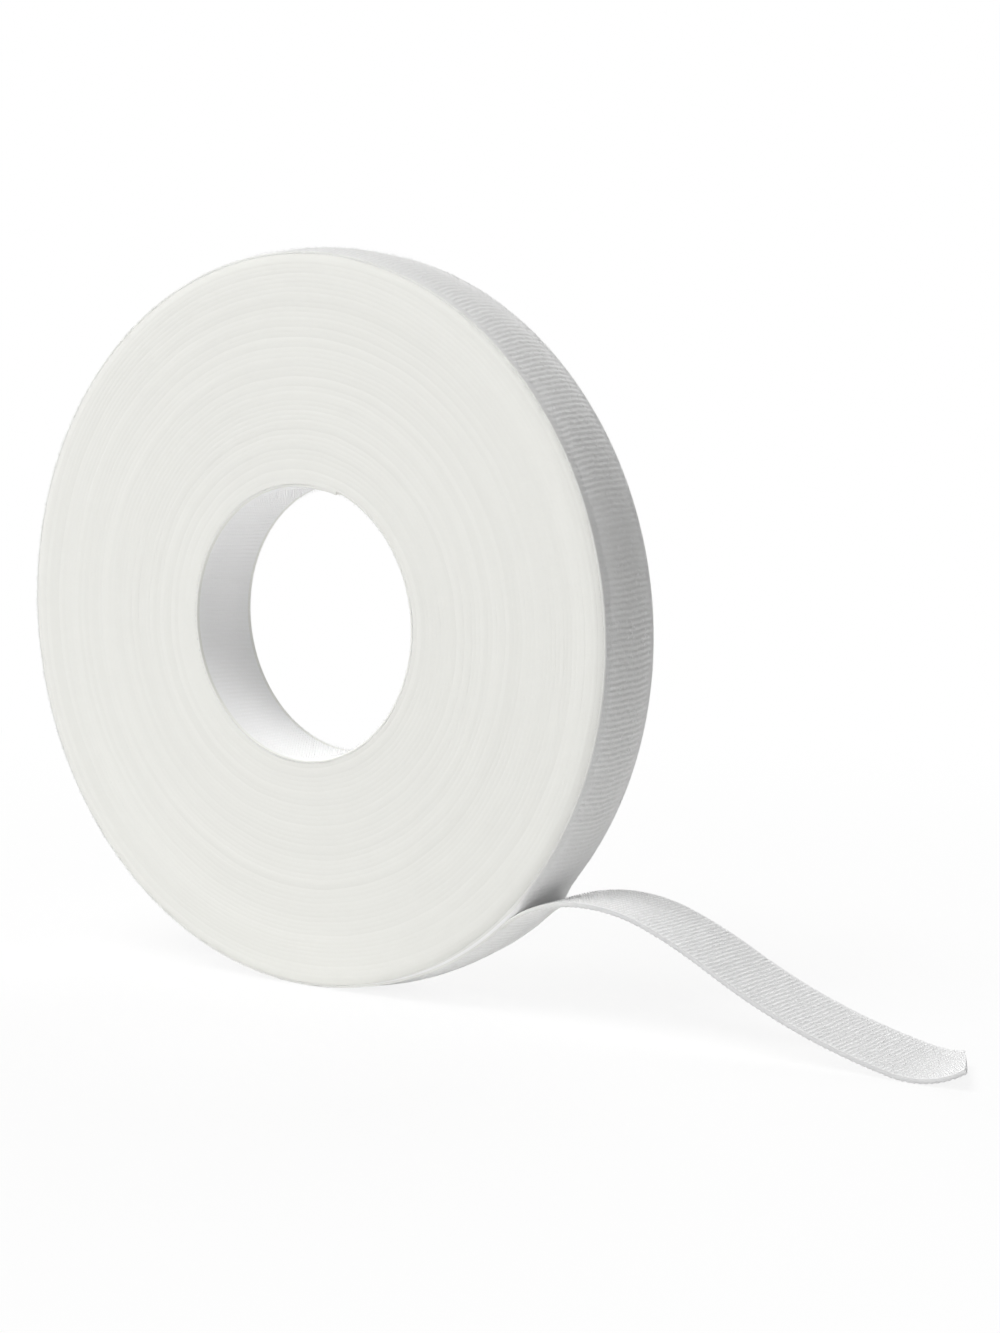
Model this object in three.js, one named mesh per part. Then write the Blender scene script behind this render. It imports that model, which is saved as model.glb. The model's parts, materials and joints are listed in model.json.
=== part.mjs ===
import * as THREE from 'three';

// A roll of back-to-back hook and loop tape that stands on its rim, with its free end on the table.
// The tape is two webs bonded back to back: hooks face the roll's axis and loops face outwards.
// Millimetres and degrees. +Y is the roll's axis, +X is the way the free end runs, +Z is up.
// The origin is the middle of the flat that the roll stands on.

// Tape
const TAPE_WIDTH = 25;
const HOOK_WEB = 0.32;
const LOOP_WEB = 0.32;
const BOND_LINE = 0.3;
// Room between two turns, which the hooks and loops fill
const PILE_SPACE = 0.52;

// Roll
const OUTER_DIAMETER = 222;
const BORE_DIAMETER = 80;
const FLAT_DEPTH = 0.5;
// Where the tape's inner end makes a step in the bore, counted up from +X
const INNER_END_ANGLE = 70;

// Winding: the turns that are modelled one by one, and the facets in a turn
const WOUND_LOOPS = 24;
const LOOP_STEPS = 40;
// Facets from the flat to the line where the tail peels off; each turn climbs over the last there
const CLIMB_STEPS = 4;
// A web that tapers in or out starts and ends at this share of its thickness
const LEAST_SHARE = 0.3;

// Tail, from the peel line to its cut end along the near edge: how long each stretch is, and how far it turns
const RISE_LENGTH = 24;
const CREST_LENGTH = 30;
const FALL_LENGTH = 23;
const SWEEP_LENGTH = 61;
const CURL_LENGTH = 24;
const TAIL_BENDS = [
  { turn: -31.5, length: RISE_LENGTH },
  { turn: -29, length: CREST_LENGTH },
  { turn: -8, length: FALL_LENGTH },
  { turn: 17, length: SWEEP_LENGTH },
  { turn: 44, length: CURL_LENGTH },
];
const BEND_STEP = 5;
// How much higher the far edge stands than the near edge at the tip
const TAIL_LEAN = 3.4;
// The slanted cut: how much further the near edge reaches than the far edge, and the length over which
// the sections turn from square to that slant
const CUT_SLANT = 14.4;
const SLANTING_LENGTH = 30;
// Where the tail bends when it is lifted, measured along it from the peel line
const PEEL_HINGE = 12;
const FLEX_HINGE = 95;
const HINGE_GAP = 0.5;
// Slack for rounding where a place falls on a marked one
const HAIR = 1e-9;

// Sizes that follow
const tape = HOOK_WEB + BOND_LINE + LOOP_WEB;
const pitch = tape + PILE_SPACE;
const outerRadius = OUTER_DIAMETER / 2;
const boreRadius = BORE_DIAMETER / 2;
const axisHeight = outerRadius - FLAT_DEPTH;
const outerTurnRadius = outerRadius - tape;
const packRadius = outerTurnRadius - PILE_SPACE;
const firstRadius = outerTurnRadius - pitch * WOUND_LOOPS;
const innerTurnsRadius = firstRadius - PILE_SPACE;
const step = 360 / LOOP_STEPS;
const bottom = -90;
const peelAngle = bottom + step * (CLIMB_STEPS + 0.5);
const packStations = WOUND_LOOPS * LOOP_STEPS;
const peelStation = packStations + LOOP_STEPS;
const tailLength = TAIL_BENDS.reduce((sum, bend) => sum + bend.length, 0);
const tipLength = tailLength - CUT_SLANT / 2;

const radians = THREE.MathUtils.degToRad;
const smooth = (share) => share * share * (3 - 2 * share);

// One cross-section place on the winding: a point on the tape's inner face and the way outwards.
// A turn lies on a circle and climbs by one pitch over its last facets, so all turns nest alike.
function windingStation(index) {
  const turn = Math.floor(index / LOOP_STEPS);
  const intoTurn = index - turn * LOOP_STEPS;
  const climbed = Math.max(0, intoTurn - (LOOP_STEPS - CLIMB_STEPS)) / CLIMB_STEPS;
  const angle = radians(peelAngle + step * intoTurn);
  const out = new THREE.Vector3(Math.cos(angle), 0, Math.sin(angle));
  const radius = firstRadius + pitch * (turn + smooth(climbed));
  return { out, radius, inner: out.clone().multiplyScalar(radius), lean: 0, least: 0, most: tape };
}

// The pack's own turns stay inside one circle, so that the outer turn can travel round them.
function packStation(index) {
  const station = windingStation(index);
  station.most = Math.min(tape, packRadius - station.radius);
  return station;
}

// The outer turn stays outside that circle, and is pressed flat where the roll stands on it.
// reach is how far the table lies along the way outwards, or a full diameter where that is further.
function outerTurnStation(index) {
  const station = windingStation(index);
  const reach = axisHeight / Math.max(-station.out.z, axisHeight / OUTER_DIAMETER);
  const pressed = Math.max(0, station.radius + tape - reach);
  station.inner.addScaledVector(station.out, -pressed);
  station.least = Math.max(0, outerTurnRadius - station.radius);
  return station;
}

// The tail's middle line as arcs that follow on from the peel line, one place every few millimetres.
function tailPath() {
  const start = windingStation(peelStation);
  const place = start.inner.clone().addScaledVector(start.out, tape / 2);
  const leanStart = RISE_LENGTH;
  const path = [];
  let heading = radians(peelAngle + 90);
  let along = 0;
  const mark = () => {
    const out = new THREE.Vector3(Math.sin(heading), 0, -Math.cos(heading));
    const lean = TAIL_LEAN * Math.max(0, (along - leanStart) / (tailLength - leanStart));
    path.push({ along, out, middle: place.clone(), lean });
  };
  mark();
  for (const bend of TAIL_BENDS) {
    const count = Math.ceil(bend.length / BEND_STEP);
    const turn = radians(bend.turn) / count;
    const arc = bend.length / count;
    const chord = arc * Math.sin(turn / 2) / (turn / 2);
    for (let i = 0; i < count; i += 1) {
      place.x += chord * Math.cos(heading + turn / 2);
      place.z += chord * Math.sin(heading + turn / 2);
      heading += turn;
      along += arc;
      mark();
    }
  }
  return path;
}

const path = tailPath();

// A place at any distance along the tail, between the two nearest marked places.
function tailStation(along) {
  const next = Math.max(1, path.findIndex((mark) => mark.along >= along - HAIR));
  const [a, b] = [path[next - 1], path[next]];
  const share = (along - a.along) / (b.along - a.along);
  const out = a.out.clone().lerp(b.out, share).normalize();
  const inner = a.middle.clone().lerp(b.middle, share).addScaledVector(out, -tape / 2);
  return { out, inner, lean: THREE.MathUtils.lerp(a.lean, b.lean, share), least: 0, most: tape };
}

// A section of the tail. Near the cut end its near edge lies further along than its far edge.
function tailSection(along) {
  const slanted = Math.max(0, 1 - (tipLength - along) / SLANTING_LENGTH);
  const ahead = slanted * CUT_SLANT / 2;
  return { ...tailStation(along + ahead), far: tailStation(along - ahead) };
}

function tailStretch(from, to) {
  const between = path.filter((mark) => mark.along > from + HINGE_GAP && mark.along < to - HINGE_GAP);
  return [from, ...between.map((mark) => mark.along), to].map(tailSection);
}

// The four corners of the tape's section between two depths below its inner face.
function corners(station, from, to) {
  const edge = (side, depth) => {
    const place = side > 0 && station.far ? station.far : station;
    const point = place.inner.clone().addScaledVector(place.out, depth);
    point.y = side * TAPE_WIDTH / 2;
    point.z += side * place.lean / 2;
    return point;
  };
  return [edge(-1, from), edge(-1, to), edge(1, to), edge(1, from)];
}

// A web of the tape along a row of stations, as one closed strip with a flat cap at each end.
function ribbon(stations, from, to) {
  const sections = [];
  for (const station of stations) {
    const upper = Math.max(from, station.least);
    const lower = Math.min(to, station.most);
    if (lower - upper >= LEAST_SHARE * (to - from)) sections.push(corners(station, upper, lower));
  }
  const sides = 4;
  const faces = [];
  for (let i = 0; i + 1 < sections.length; i += 1) {
    for (let j = 0; j < sides; j += 1) {
      const a = i * sides + j;
      const b = i * sides + (j + 1) % sides;
      faces.push(a, b, a + sides, b, b + sides, a + sides);
    }
  }
  const last = (sections.length - 1) * sides;
  faces.push(0, 2, 1, 0, 3, 2);
  faces.push(last, last + 1, last + 2, last, last + 2, last + 3);
  const geometry = new THREE.BufferGeometry().setFromPoints(sections.flat());
  geometry.setIndex(faces);
  geometry.computeVertexNormals();
  return geometry;
}

const range = (from, to, make) => Array.from({ length: to - from + 1 }, (unused, i) => make(from + i));

// The inner turns as one plain ring, whose bore keeps the step at the tape's inner end.
function innerTurns() {
  const ring = new THREE.Shape();
  const bore = new THREE.Path();
  const point = (angle, radius) => new THREE.Vector2(Math.cos(angle), Math.sin(angle)).multiplyScalar(radius);
  ring.setFromPoints(range(0, LOOP_STEPS - 1, (i) => point(radians(peelAngle + step * i), innerTurnsRadius)));
  bore.setFromPoints(range(0, LOOP_STEPS, (i) => {
    return point(radians(INNER_END_ANGLE + step * i), boreRadius + pitch * i / LOOP_STEPS);
  }));
  ring.holes.push(bore);
  const geometry = new THREE.ExtrudeGeometry(ring, { depth: TAPE_WIDTH, bevelEnabled: false });
  geometry.translate(0, 0, -TAPE_WIDTH / 2);
  geometry.rotateX(Math.PI / 2);
  return geometry;
}

// Least distance between one turn's outer face and the next turn's inner face, measured on points.
function leastGapBetweenTurns() {
  const face = (index, depth) => {
    const station = packStation(index);
    return station.inner.clone().addScaledVector(station.out, depth);
  };
  let least = Infinity;
  for (let i = LOOP_STEPS; i + 1 < packStations - CLIMB_STEPS; i += 1) {
    const nextFacet = new THREE.Line3(face(i, 0), face(i + 1, 0));
    const below = i - LOOP_STEPS;
    const middle = face(below, tape).lerp(face(below + 1, tape), 0.5);
    for (const point of [face(below, tape), middle, face(below + 1, tape)]) {
      const nearest = nextFacet.closestPointToPoint(point, true, new THREE.Vector3());
      least = Math.min(least, nearest.distanceTo(point));
    }
  }
  return least;
}

const hookFinish = new THREE.MeshStandardMaterial({ color: 0xe4e4df, roughness: 0.85, metalness: 0 });
const loopFinish = new THREE.MeshStandardMaterial({ color: 0xe6e6e2, roughness: 0.95, metalness: 0 });
const edgeFinish = new THREE.MeshStandardMaterial({ color: 0xe5e5e0, roughness: 0.95, metalness: 0 });

const roll = new THREE.Group();
roll.position.z = axisHeight;

function addPiece(name, geometry, finish) {
  const mesh = new THREE.Mesh(geometry, finish);
  mesh.name = name;
  roll.add(mesh);
}

// A stretch of loose tape is its hook web and its loop web, with the bond line between them.
function addTape(name, stations) {
  addPiece(`${name}_hook_web`, ribbon(stations, 0, HOOK_WEB), hookFinish);
  addPiece(`${name}_loop_web`, ribbon(stations, HOOK_WEB + BOND_LINE, tape), loopFinish);
}

const half = HINGE_GAP / 2;
const climbStart = packStations - CLIMB_STEPS;
const wrapped = range(climbStart, peelStation - 1, outerTurnStation);

addPiece('inner_turns', innerTurns(), edgeFinish);
addPiece('wound_turns', ribbon(range(0, packStations - 1, packStation), 0, tape), edgeFinish);
addTape('outer_turn', [...wrapped, ...tailStretch(0, PEEL_HINGE - half)]);
addTape('tail', tailStretch(PEEL_HINGE + half, FLEX_HINGE - half));
addTape('tip', tailStretch(FLEX_HINGE + half, tipLength));

console.log(`least gap between turns ${leastGapBetweenTurns().toFixed(3)} mm`);

const part = new THREE.Group();
part.add(roll);

export default part;
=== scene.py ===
"""A roll of white back-to-back hook and loop tape that stands on its rim, with its free end on the table.

Metres in the frame's axes: +Y is the roll's axis, +X is the way the free end runs, +Z is up.
The tape's hooks face the axis and its loops face outwards. One length of tape makes every piece.
"""

import json
import math

import bpy
import numpy as np
from mathutils import Matrix, Vector


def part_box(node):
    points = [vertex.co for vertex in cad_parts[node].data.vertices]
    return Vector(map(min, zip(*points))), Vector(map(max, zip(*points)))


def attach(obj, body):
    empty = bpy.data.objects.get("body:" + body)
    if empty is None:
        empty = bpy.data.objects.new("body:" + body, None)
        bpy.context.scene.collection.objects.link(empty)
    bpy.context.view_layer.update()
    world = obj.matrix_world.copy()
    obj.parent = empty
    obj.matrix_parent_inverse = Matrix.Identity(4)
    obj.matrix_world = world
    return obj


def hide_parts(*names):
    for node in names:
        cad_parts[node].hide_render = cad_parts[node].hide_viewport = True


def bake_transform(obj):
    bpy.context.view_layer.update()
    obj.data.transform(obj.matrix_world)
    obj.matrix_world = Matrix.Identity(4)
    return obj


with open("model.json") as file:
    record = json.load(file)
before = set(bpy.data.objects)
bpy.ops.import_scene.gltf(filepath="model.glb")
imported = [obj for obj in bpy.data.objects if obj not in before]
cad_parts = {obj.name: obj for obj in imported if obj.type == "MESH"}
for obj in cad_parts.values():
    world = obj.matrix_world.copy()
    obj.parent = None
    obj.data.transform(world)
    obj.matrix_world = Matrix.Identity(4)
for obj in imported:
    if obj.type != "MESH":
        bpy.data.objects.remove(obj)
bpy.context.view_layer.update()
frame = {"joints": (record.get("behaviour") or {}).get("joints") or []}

MM = 0.001
joints = {joint["name"]: joint for joint in frame["joints"]}
axis_height = joints["unwind"]["pos_m"][2]
web_low, web_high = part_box("outer_turn_loop_web")

# Tape
TAPE_WIDTH = web_high.y - web_low.y
TAPE_THICKNESS = 1.4 * MM
SELVEDGE = 1.3 * MM
# Width of the band along the rim's edges that is painted lighter, a painted highlight
EDGE_HIGHLIGHT_BAND = 9 * MM
EDGE_ROUND = 0.3 * MM
# Points of a section: round each edge, and across the hooks' face and the loops'
EDGE_POINTS = 7
BORE_POINTS = (34, 4)
OUTER_POINTS = (4, 36)
TAIL_POINTS = (36, 28)
# Steps of the rim's edges that its pile covers
PILE_WRAP = 4
# Ribs of the loops' web and rows of the hooks' web: their spacing, slant (along over across) and depth
RIB_PITCH = 1.75 * MM
RIB_SLANT = 0.04
RIB_DEPTH = 0.22 * MM
ROW_PITCH = 1.45 * MM
ROW_SLANT = 0.07
ROW_DEPTH = 0.1 * MM
BORE_ROW_DEPTH = 0.25 * ROW_DEPTH
# How ribs and rows waver: shares of their spacing, with the waves' lengths across and along in millimetres
WAVERS = ((0.06, 13.2, 61.0), (0.03, 5.6, -19.5))
# Where ribs and rows break up: the share of their depth that goes, and the size and shift of the breaks
BREAK_SHARE = 0.25
BREAK_WIDTH = 0.6 * MM
BREAK_LENGTH = 2.3 * MM
BREAK_SHIFT = 5
SELVEDGE_SHARE = 0.35
LOOP_TUFTS = 0.07 * MM
HOOK_TUFTS = 0.012 * MM
# Spacing of the sections along the tape
BORE_STEP = 0.3 * MM
OUTER_STEP = RIB_PITCH / 4
TAIL_STEP = ROW_PITCH / 6
# Where rounded edges start, from -1 at the other face to 1 at their own
ROUND_START = -0.5

# Roll
OUTER_RADIUS = 111 * MM
BORE_RADIUS = 40 * MM
INNER_END_ANGLE = 70
INNER_TAPER = 8 * MM
INNER_PRESSED = 0.7 * TAPE_THICKNESS
PEEL_ANGLE = -49.5
# Of the tape's middle, where it lies over the turn below
PEEL_RADIUS = 111.99 * MM
CLIMB_ANGLE = 36
WHOLE_TURNS = 47
SETTLING_TURNS = 12
WINDING_STEP = 2
THINNEST = 0.02 * TAPE_THICKNESS
# Between locked turns, and outside the bore's own turn, which has finer sections
TURN_GAP = 0.001 * MM
LOOSE_GAP = 0.03 * MM
EDGE_GROOVE = 0.04 * MM
EDGE_WANDER = 0.015 * MM
WANDER_LENGTHS = (0.71, 0.433, 0.287, 0.151, 0.093)
WANDER_SEED = 5
# How turns sway off their circles: waves round the roll, their depth, and how far out they come round again
SWAYS = (
    (3, 0.16 * MM, 55 * MM),
    (7, 0.1 * MM, 40 * MM),
    (17, 0.06 * MM, 31 * MM),
    (29, 0.05 * MM, 23 * MM),
)
SWAY_START = 9 * MM
CORNER_ROUND = 1.2 * MM
CROWN = 1.3 * MM
BORE_CROWN = 0.8 * MM
CROWN_RISE = 0.4
# The near corner of the rim: how far in it starts, and how far back it goes
SHOULDER_DEPTH = 4.5 * MM
SHOULDER_BACK = 3 * MM
RAGGED = 0.25 * MM
# Past the peel line: where the turn below gets back to its own thickness, and how far its loops are drawn up
LEVELLING_LENGTH = 30 * MM
DRAWN_LENGTH = 7 * MM
DRAWN_SHARE = 0.65
WEDGE_START = 8 * MM
# Painted light: the loops just past the peel line are painted whiter to lift the shade in the nip under the
# tail, fading between these distances past the peel line in millimetres
NIP_LIGHT_BAND = (45.0, 8.0)
# Painted shade greys the tape's bare edges over this length past the peel line, in millimetres
EDGE_SHADE_LENGTH = 40.0

# Tail, from the peel line to its cut end along the near edge
# How far each stretch turns in degrees, and its length
TAIL_BENDS = ((-31.5, 24 * MM), (-29, 30 * MM), (-8, 23 * MM), (17, 61 * MM), (44, 24 * MM))
TAIL_STEPS = 3480
TAIL_LEAN = 3.4 * MM
CUT_SLANT = 14.4 * MM
SLANTING_LENGTH = 30 * MM
TAIL_SEAM = 17 * ROW_PITCH
SQUARING_LENGTH = 16 * MM

# Hooks: the line of one, as steps along the tape and heights, and half its thickness
HOOK_LINE = ((0, -0.1 * MM), (0, 0.16 * MM), (0.06 * MM, 0.28 * MM), (0.16 * MM, 0.26 * MM))
HOOK_HALF = 0.06 * MM
HOOK_TAPER = 0.8
HOOK_TIP = 0.1 * MM
HOOK_SPACING = 1.15 * MM
HOOK_STAGGER = HOOK_SPACING / 4
HOOK_MARGIN = 0.4 * MM

# Loops of the rim, some of them crowded into a fringe along its edges
LOOP_COUNT = 6000
LOOP_SEED = 21
LOOP_POINTS = 6
LOOP_SPAN = 1.0 * MM
LOOP_SHORTEST = 0.5
LOOP_RISE = 0.5 * MM
LOOP_LOWEST = 0.3
LOOP_HALF = 0.035 * MM
FRINGE_SHARE = 0.45
FRINGE_START = 0.3 * CORNER_ROUND
FRINGE_WIDTH = 1.2 * MM
CORNER_DROP = 0.75 * TAPE_THICKNESS
# A direction that no thread runs along
ASKEW = (0.31, 0.72, 0.62)

# Table, which shows a share of the object's shadow near it, and none further out
FLOOR_HALF = 6.0
FLOOR_BELOW = 0.05 * MM
FLOOR_TONE = 0.96
SHADOW_SHARE = 0.14
SHADOW_START = 150 * MM
SHADOW_END = 600 * MM

# Lamps, with azimuth from the front, elevation and watts, and the light from all round
LAMP_DISTANCE = 3.0
LAMP_SIZE = 1.8
LAMPS = (
    ("front", -45, 3, 14),
    ("front_right", 30, 20, 8),
    ("front_high", 0, 40, 9),
    ("top", -25, 65, 65),
    ("backdrop", 180, 3, 24),
    ("backdrop_left", -150, 3, 34),
    ("back_high", -160, 40, 27),
)
WORLD_STRENGTH = 0.02
DIFFUSE_BOUNCES = 8

# Camera
CAMERA_AZIMUTH = 36.47
CAMERA_ELEVATION = 6.62
CAMERA_ROLL = -0.231
CAMERA_DISTANCE = 971.2 * MM
CAMERA_SIDE = 52.31 * MM
CAMERA_LIFT = -14.16 * MM
PHOTO_HEIGHT = 1333
FOCAL_PIXELS = 3215
SENSOR = 36

# Sizes that follow
climb_share = CLIMB_ANGLE / 360
wound_turns = WHOLE_TURNS + (PEEL_ANGLE - INNER_END_ANGLE) % 360 / 360
outer_turn_radius = OUTER_RADIUS - TAPE_THICKNESS
outer_turn_length = 2 * math.pi * OUTER_RADIUS
pitch = (outer_turn_radius - BORE_RADIUS) / wound_turns
tail_length = sum(length for turn, length in TAIL_BENDS)
tip_length = tail_length - CUT_SLANT / 2
half_width = TAPE_WIDTH / 2
bore_length = 2 * math.pi * (BORE_RADIUS + pitch / 2)


def smooth(share):
    """An even ease from 0 to 1."""
    share = np.clip(share, 0, 1)
    return share * share * (3 - 2 * share)


def waves(place, lengths, seed):
    """A wandering value of about -1 to 1 along a place in metres, from sines of a few lengths."""
    phases = np.random.default_rng(seed).uniform(0, 2 * math.pi, len(lengths))
    parts = [np.sin(2 * math.pi * place / length + phase) for length, phase in zip(lengths, phases)]
    return sum(parts) / math.sqrt(len(lengths))


# The winding

def turns_climbed(turns_left):
    """How many pitches below the peel line's radius the tape's inner face lies, some turns before it.

    The last turns lie on circles and climb just before the peel line, so that the loose turn can travel
    round them. Deeper in, the tape is an even spiral.
    """
    before = np.maximum(np.ceil(turns_left), 1) - 1
    stepped = before + smooth((turns_left - before) / climb_share)
    settled = smooth((turns_left - 1) / SETTLING_TURNS)
    return stepped * (1 - settled) + turns_left * settled


def inner_face(turns_left):
    """Radius of the tape's hook side, some turns before the peel line."""
    return outer_turn_radius - pitch * turns_climbed(turns_left)


def outer_face(turns_left):
    """Radius of its loop side, just under the turn above. The last turn fills the loose turn's circle."""
    above = inner_face(np.maximum(turns_left - 1, 0))
    return above - np.where(turns_left > wound_turns - 1, LOOSE_GAP, TURN_GAP)


def winding_angle(turns_left):
    """The angle round the axis, from +X towards +Z."""
    return np.radians(PEEL_ANGLE) - 2 * math.pi * turns_left


def sway(radius, angle):
    """How far the turns lie off their circles, alike for neighbours, and not at all at bore and rim."""
    room = smooth((radius - BORE_RADIUS) / SWAY_START) * smooth((outer_turn_radius - radius) / SWAY_START)
    total = np.zeros_like(radius)
    for count, depth, length in SWAYS:
        total += depth * np.sin(count * angle + radius / length * 2 * math.pi + count)
    return room * total


def shoulder(radius):
    """How far back the near edges stand, where the corner of the rim is rounded."""
    share = np.clip(1 - (OUTER_RADIUS - radius) / SHOULDER_DEPTH, 0, 1)
    return SHOULDER_BACK * (1 - np.sqrt(1 - share ** 2))


def wander(along):
    """How far the tape runs off sideways."""
    return EDGE_WANDER * waves(along, WANDER_LENGTHS, WANDER_SEED)


# The tail

def tail_line():
    """Distances along the tail, its heading, and its middle line's x and z, finely stepped."""
    lengths = np.cumsum([0] + [length for turn, length in TAIL_BENDS])
    headings = np.radians(PEEL_ANGLE + 90 + np.cumsum([0] + [turn for turn, length in TAIL_BENDS]))
    along = np.linspace(0, tail_length, TAIL_STEPS + 1)
    heading = np.interp(along, lengths, headings)
    step = along[1] - along[0]
    middle = (heading[1:] + heading[:-1]) / 2
    peel = math.radians(PEEL_ANGLE)
    ahead = np.concatenate([[0], np.cumsum(np.cos(middle) * step)])
    rise = np.concatenate([[0], np.cumsum(np.sin(middle) * step)])
    x = PEEL_RADIUS * math.cos(peel) + ahead
    z = axis_height + PEEL_RADIUS * math.sin(peel) + rise
    return along, heading, x, z


TAIL = tail_line()


def tail_place(along):
    """(middle x, middle z, outward x, outward z) at distances along the tail. Outwards is down."""
    heading = np.interp(along, TAIL[0], TAIL[1])
    x = np.interp(along, TAIL[0], TAIL[2])
    z = np.interp(along, TAIL[0], TAIL[3])
    return x, z, np.sin(heading), -np.cos(heading)


def tail_lean(along):
    """How much higher the tail's far edge lies than its near edge."""
    start = TAIL_BENDS[0][1]
    return TAIL_LEAN * np.clip((along - start) / (tail_length - start), 0, 1)


# Stretches of tape, as rows of sections

def stations(start, end, step):
    """Evenly spaced distances along the tape."""
    return np.linspace(start, end, round((end - start) / step) + 1)


class WoundStretch:
    """A stretch on the roll: each section's place along the tape, middle, way outwards and thickness."""

    def __init__(self, turns_left, along, inner, outer):
        angle = winding_angle(turns_left)
        middle = (inner + outer) / 2
        self.along = along
        self.x = middle * np.cos(angle)
        self.z = axis_height + middle * np.sin(angle)
        self.out_x = np.cos(angle)
        self.out_z = np.sin(angle)
        self.thickness = outer - inner

    def along_at(self, across):
        """Places along the tape of points across it."""
        return np.broadcast_to(self.along[:, None], across.shape)

    def points(self, across, depth):
        """Points at distances across the tape and outwards from its middle, one row for each section."""
        x = self.x[:, None] + self.out_x[:, None] * depth
        z = self.z[:, None] + self.out_z[:, None] * depth
        return np.stack([x, across, np.maximum(z, 0)], -1)


class TailStretch:
    """A stretch of the tail. Near the cut end a section's near edge lies further along than its far edge."""

    def __init__(self, start, end):
        self.along = stations(start, end, TAIL_STEP)
        self.thickness = np.full_like(self.along, TAPE_THICKNESS)

    def along_at(self, across):
        slanted = np.clip(1 - (tip_length - self.along) / SLANTING_LENGTH, 0, 1)
        ahead = slanted * CUT_SLANT / 2
        return self.along[:, None] - ahead[:, None] * across / half_width

    def points(self, across, depth):
        along = self.along_at(across)
        x, z, out_x, out_z = tail_place(along)
        z = z + out_z * depth + tail_lean(along) * across / TAPE_WIDTH
        return np.stack([x + out_x * depth, across, np.maximum(z, 0)], -1)


def outer_stretch():
    """The loose turn. It starts as a wedge on the pack's circle, and ends by climbing over that wedge.

    Just past the peel line the loops below are drawn up towards the hooks that leave them.
    """
    along = stations(WEDGE_START - (1 + climb_share) * outer_turn_length, 0, OUTER_STEP)
    turns_left = -along / outer_turn_length
    lift = PEEL_RADIUS - TAPE_THICKNESS / 2 - outer_turn_radius
    inner = outer_turn_radius + lift * (1 - smooth(turns_left / climb_share))
    filled = lift - TURN_GAP
    wedge = filled * (1 - smooth((turns_left - 1) / climb_share))
    past = np.maximum(along + outer_turn_length, 0)
    levelled = smooth(past / LEVELLING_LENGTH)
    first_turn, first_length = TAIL_BENDS[0]
    opening = past ** 2 / 2 * (1 / PEEL_RADIUS - math.radians(first_turn) / first_length)
    drawn = DRAWN_SHARE * opening * (1 - smooth(past / DRAWN_LENGTH - 1))
    full = filled + (TAPE_THICKNESS - filled) * levelled + drawn
    return WoundStretch(turns_left, along, inner, inner + np.where(turns_left > 1, wedge, full))


def bore_stretch():
    """The innermost turn, from the tape's inner end, which is pressed thin."""
    along = stations(0, bore_length, BORE_STEP)
    turns_left = wound_turns - along / bore_length
    pressed = INNER_PRESSED * (1 - smooth(along / INNER_TAPER))
    return WoundStretch(turns_left, along, inner_face(turns_left) + pressed, outer_face(turns_left))


# Meshes

# A strip's finishes, in this order
HOOK_SIDE, LOOP_SIDE, EDGE = 0, 1, 2


def placed(name, data):
    """A new object in the scene."""
    thing = bpy.data.objects.new(name, data)
    bpy.context.scene.collection.objects.link(thing)
    return thing


def smooth_piece(name, points, faces, finishes, along, across):
    """A piece whose points know their places on the flat tape, which its finishes read."""
    mesh = bpy.data.meshes.new(name)
    mesh.from_pydata(points.reshape(-1, 3).tolist(), [], faces)
    for finish in finishes:
        mesh.materials.append(finish)
    mesh.polygons.foreach_set("use_smooth", np.ones(len(faces), bool))
    for label, values in (("along", along), ("across", across)):
        attribute = mesh.attributes.new(label, "FLOAT", "POINT")
        attribute.data.foreach_set("value", values.ravel().astype(np.float32))
    return placed(name, mesh)


def strip(name, rings, sides, along, across, finishes, creased=False):
    """One closed strip through rows of section points. sides gives each section edge's finish.

    It is shaded with sharp lines round its ends and, if creased, wherever its finish changes.
    """
    count, size = rings.shape[:2]
    index = np.arange(count * size).reshape(count, size)
    following = np.roll(index, -1, axis=1)
    quads = np.stack([index[:-1], index[1:], following[1:], following[:-1]], -1).reshape(-1, 4)
    caps = [index[0].tolist(), index[-1][::-1].tolist()]
    piece = smooth_piece(name, rings, quads.tolist() + caps, finishes, along, across)
    mesh = piece.data
    slots = np.concatenate([np.tile(sides, count - 1), [EDGE, EDGE]]).astype(np.int32)
    mesh.polygons.foreach_set("material_index", slots)
    mesh.polygons.foreach_set("use_smooth", np.arange(len(slots)) < len(quads))
    ends = np.empty(2 * len(mesh.edges), np.int32)
    mesh.edges.foreach_get("vertices", ends)
    row, column = np.divmod(ends.reshape(-1, 2), size)
    sharp = (row[:, 0] == row[:, 1]) & np.isin(row[:, 0], (0, count - 1))
    if creased:
        crease = sides != np.roll(sides, 1)
        sharp |= (column[:, 0] == column[:, 1]) & crease[column[:, 0]]
    mesh.edges.foreach_set("use_edge_sharp", sharp)
    return piece


def tape_section(hook_points, loop_points, wrap):
    """Spread (-1 to 1 across), depth (-1 at the hooks' face, 1 at the loops') and finish round a section.

    wrap is how many steps of an edge the pile covers.
    """
    rounding = np.sin(np.linspace(-0.5, 0.5, EDGE_POINTS + 2)[1:-1] * math.pi)
    hook = np.linspace(-1, 1, hook_points)
    loop = np.linspace(1, -1, loop_points)
    edge = np.ones(EDGE_POINTS)
    spread = np.concatenate([hook, edge, loop, -edge])
    depth = np.concatenate([-np.ones(hook_points), rounding, np.ones(loop_points), -rounding])
    bare = [EDGE] * (EDGE_POINTS + 1 - wrap)
    sides = [HOOK_SIDE] * (hook_points - 1) + bare + [LOOP_SIDE] * (loop_points - 1 + 2 * wrap) + bare
    return spread, depth, np.array(sides)


def rounded(depth):
    """A quarter round's share of its inset, from none inside the tape's middle to all of it at a face."""
    share = np.clip((depth - ROUND_START) / (1 - ROUND_START), 0, 1)
    return 1 - np.sqrt(1 - share ** 2)


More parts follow.
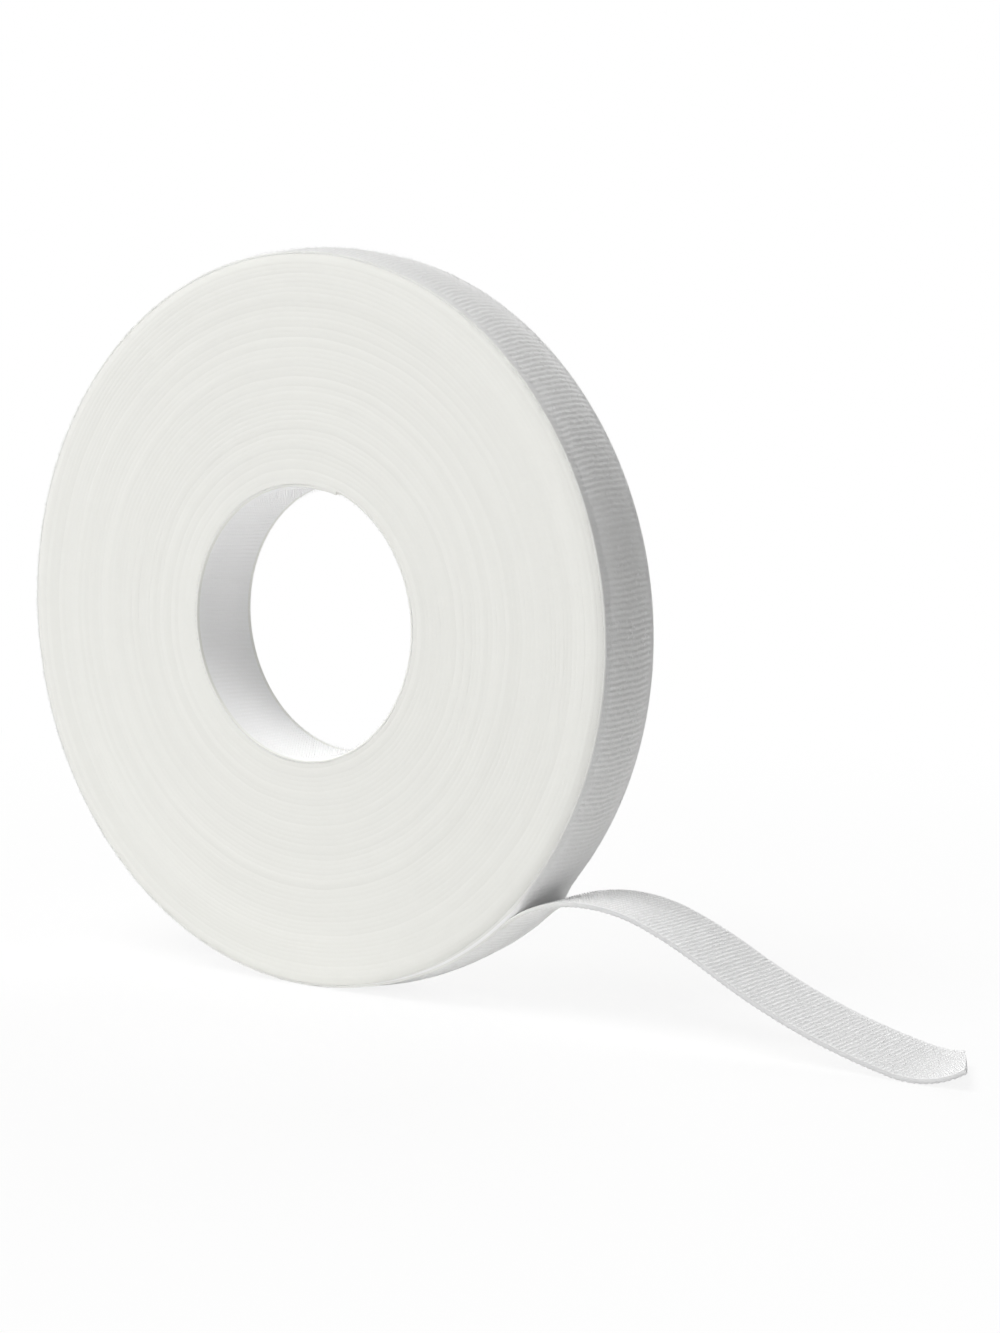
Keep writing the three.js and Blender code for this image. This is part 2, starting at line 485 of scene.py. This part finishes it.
def valleys(along, across, pitch, slant, plain):
    """1 between ribs or rows and 0 on their crests. They waver and break up in places.

    plain is 0 at a selvedge, where they are shallower, and 1 away from it.
    """
    cycle = (along - slant * across) / pitch
    for share, wide, long in WAVERS:
        cycle = cycle + share * np.sin(2 * math.pi * (across / wide + along / long) / MM)
    breaks = np.sin(across / BREAK_WIDTH + BREAK_SHIFT * np.sin(along / BREAK_LENGTH))
    whole = 1 - BREAK_SHARE + BREAK_SHARE * breaks
    return np.cos(math.pi * cycle) ** 2 * whole * (SELVEDGE_SHARE + (1 - SELVEDGE_SHARE) * plain)


def tape_strip(
    name, stretch, points, seed, finishes, rounds,
    crowns=(0, 0), shy=0, bared=1, row_depth=ROW_DEPTH, wrap=0,
):
    """A stretch of tape with ribbed pile outside and woven rows inside.

    points, rounds and crowns are for the hooks' face and the loops': how many points it has across, how
    far its edges are rounded and how far its edges droop. shy is the share of the rim's rounded near corner
    that it has, and bared how far that corner is rounded and its pile ribbed within the tape's thickness.
    Rounds, crowns, shy and bared may vary along the stretch.
    """
    spread, depth, sides = tape_section(*points, wrap)
    even = np.ones(len(stretch.along))

    def rows(values, shares):
        """Shares round a section, times each section's own value."""
        return np.multiply.outer(values * even, shares)

    to_end = np.minimum(stretch.along - stretch.along[0], stretch.along[-1] - stretch.along)
    fade = smooth(to_end / RIB_PITCH)[:, None]
    square = spread * half_width
    ribs = valleys(stretch.along_at(rows(1, square)), square, RIB_PITCH, RIB_SLANT, 1)
    under = shoulder(outer_turn_radius)
    corner = under + (SHOULDER_BACK - under) * rows(bared, rounded(depth))
    inset = rows(rounds[0], rounded(-depth)) + rows(rounds[1], rounded(depth))
    inset = inset + corner * rows(shy, spread < 0)
    inset = inset + RAGGED * ribs * fade * rows(crowns[1] / CROWN, rounded(depth))
    across = spread * (half_width - inset)
    along = stretch.along_at(across)
    plain = smooth((half_width - np.abs(across)) / SELVEDGE)
    tufts = np.random.default_rng(seed).uniform(0, 1, across.shape) * plain * fade
    web = row_depth * valleys(along, across, ROW_PITCH, ROW_SLANT, plain) + HOOK_TUFTS * tufts
    pile = RIB_DEPTH * valleys(along, across, RIB_PITCH, RIB_SLANT, 1) * fade + LOOP_TUFTS * tufts
    hooks_half = np.maximum(-depth, 0)
    loops_half = np.maximum(depth, 0)
    relief = pile * rows(bared, loops_half) + np.where(depth == -1, web, 0)
    relief = relief + rows(crowns[0], spread ** 2 * hooks_half)
    relief = relief + rows(crowns[1], (spread ** 2 - CROWN_RISE) * loops_half)
    room = np.minimum(stretch.thickness / TAPE_THICKNESS, 1)[:, None]
    offsets = depth * stretch.thickness[:, None] / 2 - np.sign(depth) * relief * room
    return strip(name, stretch.points(across, offsets), sides, along, across, finishes)


def wound_strip(name, finishes):
    """The turns between the bore's and the loose one, as one spiral of tape with soft edges."""
    steps = math.floor((wound_turns - 1) * 360 / WINDING_STEP)
    turns_left = np.append((wound_turns - 1) - np.arange(steps + 1) * WINDING_STEP / 360, 0)
    inner = inner_face(turns_left)
    outer = outer_face(turns_left)
    kept = outer - inner > THINNEST
    turns_left, inner, outer = turns_left[kept], inner[kept], outer[kept]
    arcs = (inner + outer)[1:] / 2 * np.diff(winding_angle(turns_left))
    along = np.concatenate([[0], np.cumsum(arcs)])
    # A section from its near corner on the hook side, round by the far edge, and back along the near edge
    depth = np.array([-1, -1, -0.5, 0.5, 1, 1, 0.5, -0.5])
    edge = np.array([-1, 1, 1, 1, 1, -1, -1, -1])
    groove = np.where(np.abs(depth) == 1, EDGE_GROOVE, 0)
    angle = winding_angle(turns_left)[:, None]
    radius = (inner + outer)[:, None] / 2 + (outer - inner)[:, None] / 2 * depth
    radius = radius + sway(radius, angle)
    set_back = np.where(edge < 0, shoulder(radius), 0)
    across = edge * (half_width - groove) + wander(along)[:, None] + set_back
    x = radius * np.cos(angle)
    z = axis_height + radius * np.sin(angle)
    rings = np.stack([x, across, z], -1)
    sides = np.array([HOOK_SIDE, EDGE, EDGE, EDGE, LOOP_SIDE, EDGE, EDGE, EDGE])
    return strip(name, rings, sides, np.repeat(along, len(depth)), across, finishes, creased=True)


# Hooks and loops

def hooks(name, stretch_place, start, end, finish, cut=0.0):
    """Rows of small hooks on the tape's hook side, each a bent stem with its tip turned along the tape.

    end is where the near edge ends, and cut is how much earlier the far edge does.
    """
    rows = np.arange(math.floor(start / ROW_PITCH) + 0.5, math.ceil(end / ROW_PITCH)) * ROW_PITCH
    reach = half_width - SELVEDGE
    places = np.arange(-reach, reach, HOOK_SPACING)
    along, across = np.meshgrid(rows, places, indexing="ij")
    turned = np.where(np.arange(len(rows)) % 2 == 0, 1.0, -1.0)[:, None]
    across = across + turned * HOOK_STAGGER
    along = along + ROW_SLANT * across
    last = end - cut * (across + half_width) / TAPE_WIDTH
    kept = (along > start + HOOK_MARGIN) & (along < last - HOOK_MARGIN)
    turned = np.broadcast_to(turned, kept.shape)[kept]
    along, across = along[kept], across[kept]
    base, up, ahead = stretch_place(along, across)
    side = np.array([0, 1, 0])
    corners = []
    for step, rise in HOOK_LINE:
        spine = base + up * rise + ahead * (turned * step)[:, None]
        thin = HOOK_HALF * (1 if step == 0 else HOOK_TAPER)
        cross = up if step > HOOK_TIP else ahead
        for a, b in ((1, 1), (1, -1), (-1, -1), (-1, 1)):
            corners.append(spine + side * thin * a + cross * thin * b * turned[:, None])
    points = np.stack(corners, 1)
    count, size = points.shape[:2]
    faces = [[0, 1, 2, 3][::-1], [size - 4, size - 3, size - 2, size - 1]]
    for ring in range(len(HOOK_LINE) - 1):
        for corner in range(4):
            a = ring * 4 + corner
            b = ring * 4 + (corner + 1) % 4
            faces.append([a, b, b + 4, a + 4])
    every = (np.array(faces)[None] + (np.arange(count) * size)[:, None, None]).reshape(-1, 4)
    along = np.repeat(along, size)
    across = np.repeat(across, size)
    return smooth_piece(name, points, every.tolist(), [finish], along, across)


def filaments(name, lines, thick, along, across, finish):
    """Thin three-sided threads, one through each row of points."""
    count, size = lines.shape[:2]
    ahead = np.gradient(lines, axis=1)
    ahead /= np.linalg.norm(ahead, axis=2, keepdims=True)
    first = np.cross(ahead, ASKEW)
    first /= np.linalg.norm(first, axis=2, keepdims=True)
    second = np.cross(ahead, first)
    corners = []
    for corner in range(3):
        turn = 2 * math.pi * corner / 3
        corners.append(lines + thick * (math.cos(turn) * first + math.sin(turn) * second))
    points = np.stack(corners, 2)
    index = np.arange(count * size * 3).reshape(count, size, 3)
    following = np.roll(index, -1, axis=2)
    faces = np.stack([index[:, :-1], following[:, :-1], following[:, 1:], index[:, 1:]], -1)
    along = np.repeat(along, size * 3)
    across = np.repeat(across, size * 3)
    return smooth_piece(name, points, faces.reshape(-1, 4).tolist(), [finish], along, across)


def rim_loops(name, finish):
    """Brushed loops of the loose turn, crowded along its edges."""
    chance = np.random.default_rng(LOOP_SEED)
    first = 2 * DRAWN_LENGTH - outer_turn_length
    last = -climb_share * outer_turn_length
    along = chance.uniform(first, last, LOOP_COUNT)
    fringe = chance.uniform(0, 1, LOOP_COUNT) < FRINGE_SHARE
    edge = np.where(chance.uniform(0, 1, LOOP_COUNT) < 0.5, -1, 1)
    from_edge = FRINGE_START + FRINGE_WIDTH * chance.uniform(0, 1, LOOP_COUNT) ** 2
    reach = half_width - CORNER_ROUND
    anywhere = chance.uniform(-reach, reach, LOOP_COUNT)
    across = np.where(fringe, edge * (half_width - from_edge), anywhere)
    heading = chance.uniform(0, 2 * math.pi, LOOP_COUNT)[:, None]
    span = LOOP_SPAN * chance.uniform(LOOP_SHORTEST, 1, LOOP_COUNT)[:, None]
    rise = LOOP_RISE * chance.uniform(LOOP_LOWEST, 1, LOOP_COUNT)[:, None]
    share = np.linspace(-1, 1, LOOP_POINTS)
    place = along[:, None] + span / 2 * np.cos(heading) * share
    aside = np.clip(across[:, None] + span / 2 * np.sin(heading) * share, -half_width, half_width)
    corner = np.where(aside < 0, CORNER_ROUND + SHOULDER_BACK, CORNER_ROUND)
    beside = np.clip(1 - (half_width - np.abs(aside)) / corner, 0, 1)
    upright = np.sqrt(1 - beside ** 2)
    drop = CORNER_DROP * (1 - upright)
    droop = CROWN * ((aside / half_width) ** 2 - CROWN_RISE)
    reach_out = rise * np.sqrt(1 - share ** 2)
    radius = OUTER_RADIUS - droop - drop - LOOP_TUFTS + upright * reach_out
    aside = aside + np.sign(aside) * beside * reach_out
    angle = winding_angle(-place / outer_turn_length)
    lines = np.stack([radius * np.cos(angle), aside, axis_height + radius * np.sin(angle)], -1)
    lines[:, :, 2] = np.maximum(lines[:, :, 2], 2 * LOOP_HALF)
    return filaments(name, lines, LOOP_HALF, along, across, finish)


def tail_hook_place(along, across):
    """Points on the tail's hook side, the way off the web and the way along it."""
    x, z, out_x, out_z = tail_place(along)
    depth = -TAPE_THICKNESS / 2
    lean = tail_lean(along) * across / TAPE_WIDTH
    base = np.stack([x + out_x * depth, across, z + out_z * depth + lean], -1)
    up = np.stack([-out_x, np.zeros_like(x), -out_z], -1)
    ahead = np.stack([-out_z, np.zeros_like(x), out_x], -1)
    return base, up, ahead


def bore_hook_place(along, across):
    """The same for the bore's wall."""
    turns_left = wound_turns - along / bore_length
    angle = winding_angle(turns_left)
    radius = inner_face(turns_left)
    base = np.stack([radius * np.cos(angle), across, axis_height + radius * np.sin(angle)], -1)
    up = np.stack([-np.cos(angle), np.zeros_like(angle), -np.sin(angle)], -1)
    ahead = np.stack([-np.sin(angle), np.zeros_like(angle), np.cos(angle)], -1)
    return base, up, ahead


# Finishes

class Wire:
    """A node's output that takes part in arithmetic."""

    def __init__(self, finish, output):
        self.finish = finish
        self.output = output

    def maths(self, operation, first, second=0.0):
        return self.finish.node("ShaderNodeMath", {"operation": operation}, {0: first, 1: second})

    def __add__(self, other):
        return self.maths("ADD", self, other)

    def __radd__(self, other):
        return self.maths("ADD", other, self)

    def __sub__(self, other):
        return self.maths("SUBTRACT", self, other)

    def __rsub__(self, other):
        return self.maths("SUBTRACT", other, self)

    def __mul__(self, other):
        return self.maths("MULTIPLY", self, other)

    def __rmul__(self, other):
        return self.maths("MULTIPLY", other, self)

    def __truediv__(self, other):
        return self.maths("DIVIDE", self, other)

    def __rtruediv__(self, other):
        return self.maths("DIVIDE", other, self)


class Finish:
    """A material's nodes, or the world's."""

    def __init__(self, owner):
        owner.use_nodes = True
        self.owner = owner
        self.tree = owner.node_tree
        self.tree.nodes.clear()

    def node(self, kind, settings=None, sockets=None, output=0):
        """Adds a node, sets it up, fills its sockets with values or wires, and gives one of its outputs."""
        made = self.tree.nodes.new(kind)
        for name, value in (settings or {}).items():
            setattr(made, name, value)
        for name, value in (sockets or {}).items():
            if isinstance(value, Wire):
                self.tree.links.new(value.output, made.inputs[name])
            else:
                made.inputs[name].default_value = value
        return Wire(self, made.outputs[output]) if made.outputs else None

    def tape(self, way):
        """The point's place on the flat tape in millimetres, along or across."""
        return self.node("ShaderNodeAttribute", {"attribute_name": way}, output="Fac") / MM

    def vector(self, x, y, z):
        return self.node("ShaderNodeCombineXYZ", None, {"X": x, "Y": y, "Z": z})

    def noise(self, place, scale, detail=2.0, roughness=0.5):
        sockets = {"Vector": place, "Scale": scale, "Detail": detail, "Roughness": roughness}
        return self.node("ShaderNodeTexNoise", None, sockets, "Fac")

    def sine(self, value):
        return self.node("ShaderNodeMath", {"operation": "SINE"}, {0: value})

    def between(self, value, low, high):
        """An even ease from 0 where value is low to 1 where it is high."""
        sockets = {0: value, 1: low, 2: high, 3: 0.0, 4: 1.0}
        return self.node("ShaderNodeMapRange", {"interpolation_type": "SMOOTHSTEP"}, sockets)

    def selvedge(self, across, reach):
        """1 at the tape's edges and 0 further in than reach, from across in millimetres."""
        aside = self.node("ShaderNodeMath", {"operation": "ABSOLUTE"}, {0: across})
        return self.between(aside, (half_width - reach) / MM, half_width / MM)

    def crests(self, along, across, pitch, slant):
        """1 on the crests of ribs or rows and 0 between them, as the mesh has them."""
        cycle = (along - across * slant) / (pitch / MM)
        for share, wide, long in WAVERS:
            cycle = cycle + share * self.sine((across / wide + along / long) * (2 * math.pi))
        return 0.5 - 0.5 * self.sine((cycle + 0.25) * (2 * math.pi))

    def mix(self, share, first, second):
        sockets = {0: share, 6: first, 7: second}
        return self.node("ShaderNodeMix", {"data_type": "RGBA"}, sockets, 2)

    def bump(self, height, strength, distance):
        sockets = {"Height": height, "Strength": strength, "Distance": distance}
        return self.node("ShaderNodeBump", None, sockets)

    def seen(self):
        """1 for rays that show the surface itself, seen or mirrored, and 0 for those that light others."""
        parts = ("Is Camera Ray", "Is Glossy Ray", "Is Transmission Ray")
        return sum(self.node("ShaderNodeLightPath", output=part) for part in parts)

    def cloth(self, colour, roughness, normal, sheen, glow):
        """Matt cloth. glow is the share of its light that passes through the yarn."""
        sockets = {
            "Base Color": colour,
            "Roughness": roughness,
            "Normal": normal,
            "Sheen Weight": sheen,
            "Sheen Roughness": 0.5,
            "Specular IOR Level": 0.3,
            "Subsurface Weight": glow,
            "Subsurface Radius": (1.0, 1.0, 1.0),
            "Subsurface Scale": 1.0 * MM,
        }
        shader = self.node("ShaderNodeBsdfPrincipled", None, sockets)
        self.node("ShaderNodeOutputMaterial", None, {"Surface": shader})
        return self.owner


def new_finish(name):
    return Finish(bpy.data.materials.new(name))


def white(tone, warmth=0.0):
    """A near white. warmth is how much less blue than red it has."""
    return (tone, tone, tone - warmth, 1)


def edge_finish(name, tone, warmth, loose=False):
    """Bound edges of the tape with fine lint, a little different from turn to turn.

    Loose tape gets greyer past the peel line: painted shade on the tail's edges, which face down away from
    the lamps.
    """
    f = new_finish(name)
    along = f.tape("along")
    place = f.node("ShaderNodeTexCoord", None, None, "Object")
    length = f.noise(f.vector(along, 0.0, 0.0), scale=0.003, detail=1.0)
    lint = f.noise(place, scale=1500.0, detail=3.0, roughness=0.6)
    colour = f.mix(f.between(length, 0.3, 0.7), white(tone - 0.02, warmth), white(tone + 0.02, warmth))
    colour = f.mix(lint * 0.25, colour, white(0.9 * tone, warmth))
    if loose:
        # Painted shade on the loose tape's edges past the peel line
        colour = f.mix(f.between(along, 0.0, EDGE_SHADE_LENGTH), colour, white(0.76))
    normal = f.bump(lint, strength=0.2, distance=0.1 * MM)
    return f.cloth(colour, 0.85 + 0.1 * lint, normal, sheen=0.2, glow=0)


def loop_finish():
    """Brushed loop pile on the ribbed web, painted darker between its ribs as shade, lighter along its edges
    as a painted highlight, and lighter where it was just peeled as painted light in the nip's shade.
    """
    f = new_finish("loop_pile")
    along = f.tape("along")
    across = f.tape("across")
    pile = f.noise(f.vector(along * 0.9, across * 1.6, 0.0), scale=1.0, roughness=0.65)
    strand = f.noise(f.vector(along * 3.0, across * 0.8, 3.0), scale=1.2)
    broad = f.noise(f.vector(along, across, 0.0), scale=0.03)
    rib = f.crests(along, across, RIB_PITCH, RIB_SLANT)
    colour = f.mix(broad, white(0.86, 0.01), white(0.89, 0.01))
    colour = f.mix(f.between(pile, 0.65, 0.35) * 0.5, colour, white(0.8, 0.01))
    # Painted shade: darker between the ribs, in the pile's valleys
    colour = f.mix((1 - rib) * 0.6, colour, white(0.78, 0.01))
    # Painted highlight: lighter along both edges, for the light they catch from behind and through their
    # fibres
    colour = f.mix(f.selvedge(across, EDGE_HIGHLIGHT_BAND) * 0.8, colour, white(0.95, 0.01))
    # Painted light in the nip's shade, just past the peel line
    past = along + outer_turn_length / MM
    colour = f.mix(f.between(past, *NIP_LIGHT_BAND), colour, white(0.985, 0.005))
    normal = f.bump(pile * 0.7 + strand * 0.3, strength=0.5, distance=0.3 * MM)
    return f.cloth(colour, 0.9, normal, sheen=0.35, glow=0.3)


def hook_web_finish(name, tone, contrast):
    """The woven web that carries the hooks. tone is its rows', and contrast how far they stand out, in bump
    and in painted shade between the rows.
    """
    f = new_finish(name)
    along = f.tape("along")
    across = f.tape("across")
    grain = f.noise(f.vector(along, across, 0.0), scale=2.0)
    patches = f.noise(f.vector(along * 0.7, across, 5.0), scale=1.1, detail=1.0)
    row = f.crests(along, across, ROW_PITCH, ROW_SLANT) * f.between(patches, 0.3, 0.6)
    # Painted shade: darker in the valleys between rows
    colour = f.mix((1 - row) * contrast, white(tone), white(0.78))
    colour = f.mix(f.selvedge(across, 2 * SELVEDGE) * 0.5, colour, white(0.94))
    normal = f.bump(row * 0.6 + grain * 0.4, strength=contrast, distance=0.15 * MM)
    return f.cloth(colour, 0.75, normal, sheen=0.2, glow=0.5)


def filament_finish(name):
    """Matt white filament."""
    f = new_finish(name)
    tint = f.noise(f.vector(f.tape("along"), f.tape("across"), 1.0), scale=0.9, detail=1.0)
    colour = f.mix(tint, white(0.92), white(0.96))
    normal = f.bump(tint, strength=0.05, distance=0.05 * MM)
    return f.cloth(colour, 0.75 + 0.15 * tint, normal, sheen=0.1, glow=0.6)


# Pieces

wound_edge = edge_finish("wound_edge", tone=0.91, warmth=0.04)
# A little darker than the wound edges: painted shade against the light that the rim's corner catches
turn_edge = edge_finish("turn_edge", tone=0.88, warmth=0.03, loose=True)
loop_pile = loop_finish()
loop_filament = filament_finish("loop_filament")
hook_web = hook_web_finish("hook_web", tone=0.98, contrast=0.8)
# The bore's web has little painted shade between its rows, so it stays lighter, standing in for the light
# that bounces round inside the bore
bore_web = hook_web_finish("bore_web", tone=0.99, contrast=0.1)
hook_filament = filament_finish("hook_filament")

wound_tape = wound_strip("wound_tape", (hook_web, loop_pile, wound_edge))
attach(wound_tape, "roll")
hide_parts("wound_turns", "inner_turns")

bore_tape = tape_strip(
    "bore_tape", bore_stretch(), points=BORE_POINTS, seed=11,
    finishes=(bore_web, loop_pile, wound_edge), rounds=(CORNER_ROUND, EDGE_GROOVE),
    crowns=(BORE_CROWN, 0), row_depth=BORE_ROW_DEPTH,
)
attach(bore_tape, "roll")
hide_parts("inner_turns")

bore_hooks = hooks("bore_hooks", bore_hook_place, INNER_TAPER, bore_length, hook_filament)
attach(bore_hooks, "roll")

loose_turn = outer_stretch()
outer_bared = smooth((loose_turn.along + outer_turn_length) / LEVELLING_LENGTH)
outer_tape = tape_strip(
    "outer_tape", loose_turn, points=OUTER_POINTS, seed=12,
    finishes=(hook_web, loop_pile, turn_edge), rounds=(0, CORNER_ROUND * outer_bared),
    crowns=(0, CROWN * outer_bared), shy=1, bared=outer_bared, wrap=PILE_WRAP,
)
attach(outer_tape, "outer_turn")
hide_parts("outer_turn_hook_web", "outer_turn_loop_web")

outer_loops = rim_loops("outer_loops", loop_filament)
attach(outer_loops, "outer_turn")


def peel_bend(piece):
    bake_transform(piece)


def flex_bend(piece):
    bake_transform(piece)


tail_finishes = (hook_web, loop_pile, turn_edge)
root = TailStretch(0, TAIL_SEAM)
squared = smooth(root.along / SQUARING_LENGTH)
root_rounds = (
    EDGE_GROOVE + (EDGE_ROUND - EDGE_GROOVE) * squared,
    CORNER_ROUND + (EDGE_ROUND - CORNER_ROUND) * squared,
)
root_crowns = (0, CROWN * (1 - squared))
tail_root = tape_strip(
    "tail_root", root, points=TAIL_POINTS, seed=13,
    finishes=tail_finishes, rounds=root_rounds, crowns=root_crowns, shy=1 - squared,
)
peel_bend(tail_root)
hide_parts("tail_hook_web", "tail_loop_web")

tail_root_hooks = hooks("tail_root_hooks", tail_hook_place, 0, TAIL_SEAM, hook_filament)
peel_bend(tail_root_hooks)

tail_end = tape_strip(
    "tail_end", TailStretch(TAIL_SEAM, tip_length), points=TAIL_POINTS, seed=14,
    finishes=tail_finishes, rounds=(EDGE_ROUND, EDGE_ROUND),
)
flex_bend(tail_end)
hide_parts("tip_hook_web", "tip_loop_web")

tail_end_hooks = hooks("tail_end_hooks", tail_hook_place, TAIL_SEAM, tail_length, hook_filament, CUT_SLANT)
flex_bend(tail_end_hooks)

# Cut sizes of the cloth
tip_area = TAPE_WIDTH * (tip_length - TAIL_SEAM)


# Stage, light and camera

def direction(azimuth, elevation):
    """The way to a place at an azimuth, from the front towards +X, and an elevation."""
    a = math.radians(azimuth)
    e = math.radians(elevation)
    return Vector((math.sin(a) * math.cos(e), -math.cos(a) * math.cos(e), math.sin(e)))


def floor():
    """A white table that keeps some of the shadow near the object."""
    mesh = bpy.data.meshes.new("floor")
    signs = ((-1, -1), (1, -1), (1, 1), (-1, 1))
    corners = [(a * FLOOR_HALF, b * FLOOR_HALF, -FLOOR_BELOW) for a, b in signs]
    mesh.from_pydata(corners, [], [(0, 1, 2, 3)])
    f = new_finish("white_table")
    place = f.node("ShaderNodeTexCoord", None, None, "Object")
    distance = f.node("ShaderNodeVectorMath", {"operation": "LENGTH"}, {0: place}, "Value")
    shown = 1 - SHADOW_SHARE * f.between(distance, SHADOW_END, SHADOW_START)
    matt = f.node("ShaderNodeBsdfDiffuse", None, {"Color": white(FLOOR_TONE)})
    plain = f.node("ShaderNodeEmission", None, {"Color": white(1), "Strength": 1.0})
    shader = f.node("ShaderNodeMixShader", None, {0: f.seen() * shown, 1: matt, 2: plain})
    f.node("ShaderNodeOutputMaterial", None, {"Surface": shader})
    mesh.materials.append(f.owner)
    placed("floor", mesh)


def softbox(name, azimuth, elevation, power):
    """A square lamp that faces the middle of the roll."""
    lamp = bpy.data.lights.new(name, "AREA")
    lamp.shape = "SQUARE"
    lamp.size = LAMP_SIZE
    lamp.energy = power
    way = direction(azimuth, elevation)
    box = placed(name, lamp)
    box.location = Vector((0, 0, axis_height)) + way * LAMP_DISTANCE
    box.rotation_euler = way.to_track_quat("Z", "Y").to_euler()


def surroundings():
    """A little light from all round, and white to look at."""
    world = bpy.data.worlds.new("studio")
    f = Finish(world)
    around = f.node("ShaderNodeBackground", None, {"Color": white(1), "Strength": WORLD_STRENGTH})
    plain = f.node("ShaderNodeBackground", None, {"Color": white(1), "Strength": 1.0})
    shader = f.node("ShaderNodeMixShader", None, {0: f.seen(), 1: around, 2: plain})
    f.node("ShaderNodeOutputWorld", None, {"Surface": shader})
    bpy.context.scene.world = world


def camera():
    """The photo's view: its lens, and its place beside, above and back from the middle of the roll."""
    lens = bpy.data.cameras.new("camera")
    lens.sensor_width = SENSOR
    lens.lens = SENSOR * FOCAL_PIXELS / PHOTO_HEIGHT
    back = direction(CAMERA_AZIMUTH, CAMERA_ELEVATION)
    level = Vector((math.cos(math.radians(CAMERA_AZIMUTH)), math.sin(math.radians(CAMERA_AZIMUTH)), 0))
    upright = back.cross(level)
    tilt = math.radians(CAMERA_ROLL)
    right = math.cos(tilt) * level + math.sin(tilt) * upright
    up = math.cos(tilt) * upright - math.sin(tilt) * level
    place = Vector((0, 0, axis_height)) + right * CAMERA_SIDE + up * CAMERA_LIFT + back * CAMERA_DISTANCE
    stand = placed("camera", lens)
    stand.matrix_world = Matrix.Translation(place) @ Matrix((right, up, back)).transposed().to_4x4()
    bpy.context.scene.camera = stand


floor()
surroundings()
for lamp in LAMPS:
    softbox(*lamp)
camera()

bpy.context.scene.view_settings.view_transform = "Standard"
bpy.context.scene.cycles.diffuse_bounces = DIFFUSE_BOUNCES
